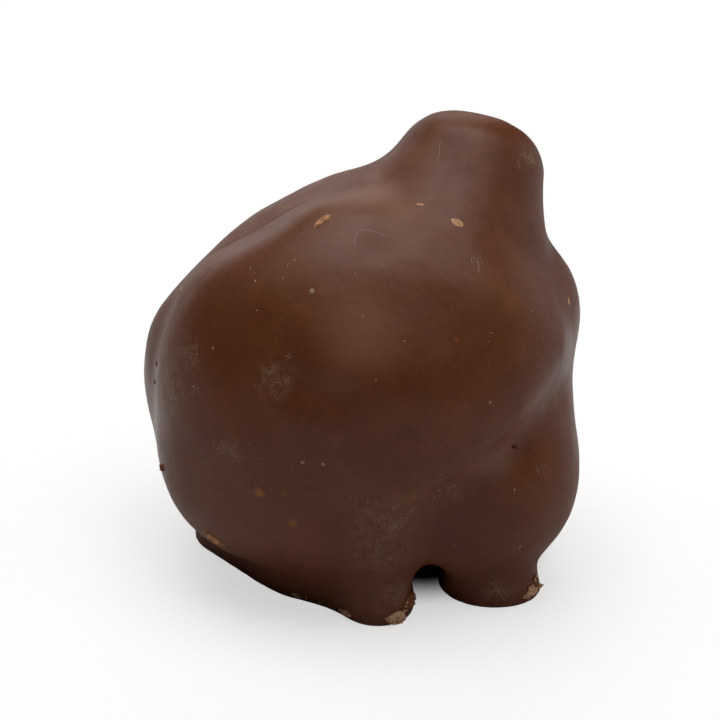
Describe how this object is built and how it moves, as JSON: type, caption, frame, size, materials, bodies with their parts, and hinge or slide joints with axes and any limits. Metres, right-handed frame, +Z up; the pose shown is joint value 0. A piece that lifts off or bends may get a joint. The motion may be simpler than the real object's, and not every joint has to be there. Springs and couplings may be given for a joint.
{
  "type": "filled chocolate",
  "caption": "Hand-dipped filled chocolate: a lobed ball coated in milk chocolate, with a short stub on top and thick set feet with a small arch between them.",
  "frame": {"origin": "on the table it stands on, under the centre of the bounding box", "axes": "+Z up through the stub, +X to the side the stub leans to, -Y the front, where the arch is"},
  "size_m": [0.0322, 0.0284, 0.0341],
  "materials": {
    "milk_chocolate": "satin milk chocolate"
  },
  "bodies": {
    "root": {"chocolate": "milk_chocolate"}
  },
  "joints": []
}
